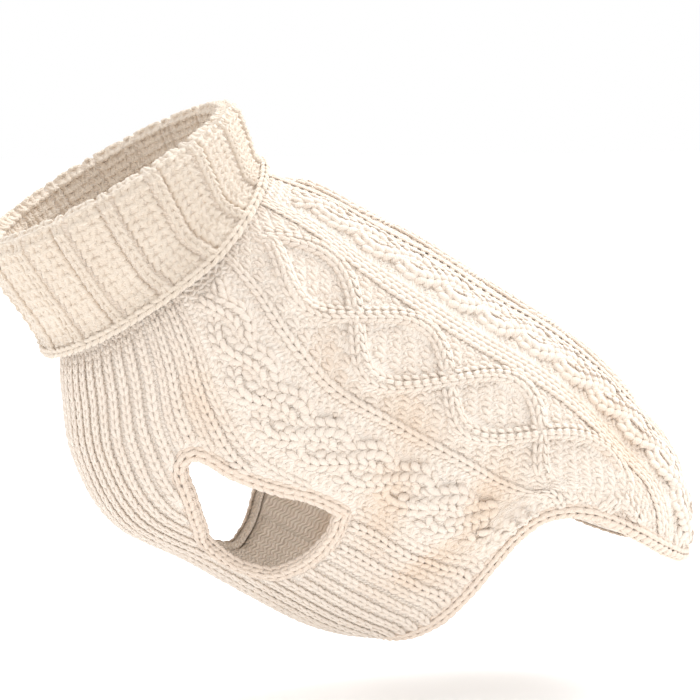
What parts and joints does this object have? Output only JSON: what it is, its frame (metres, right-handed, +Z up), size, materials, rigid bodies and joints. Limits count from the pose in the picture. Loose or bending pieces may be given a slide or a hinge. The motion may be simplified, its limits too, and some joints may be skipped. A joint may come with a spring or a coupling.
{
  "type": "dog sweater",
  "caption": "Hand-knitted pullover sweater for a small dog in its worn shape, with a folded ribbed turtleneck, cabled back, ribbed breast, bound leg openings and bound hem.",
  "frame": {"origin": "on the withers, on the back midline just behind the collar, where the wearer holds the sweater up", "axes": "+X towards the tail, -Y to the wearer's left, +Z up"},
  "size_m": [0.2906, 0.136, 0.2126],
  "materials": {
    "knit_body": "matt, slightly fuzzy chunky wool-blend yarn, cables and reverse stockinette",
    "knit_collar": "matt chunky wool-blend yarn in a wide rib",
    "knit_edge": "matt yarn, smooth rolled bind-off"
  },
  "bodies": {
    "root": {"back_panel": "knit_body", "breast_panel": "knit_body", "collar": "knit_collar", "leg_binding_left": "knit_edge", "leg_binding_right": "knit_edge", "hem_binding": "knit_edge"}
  },
  "joints": []
}
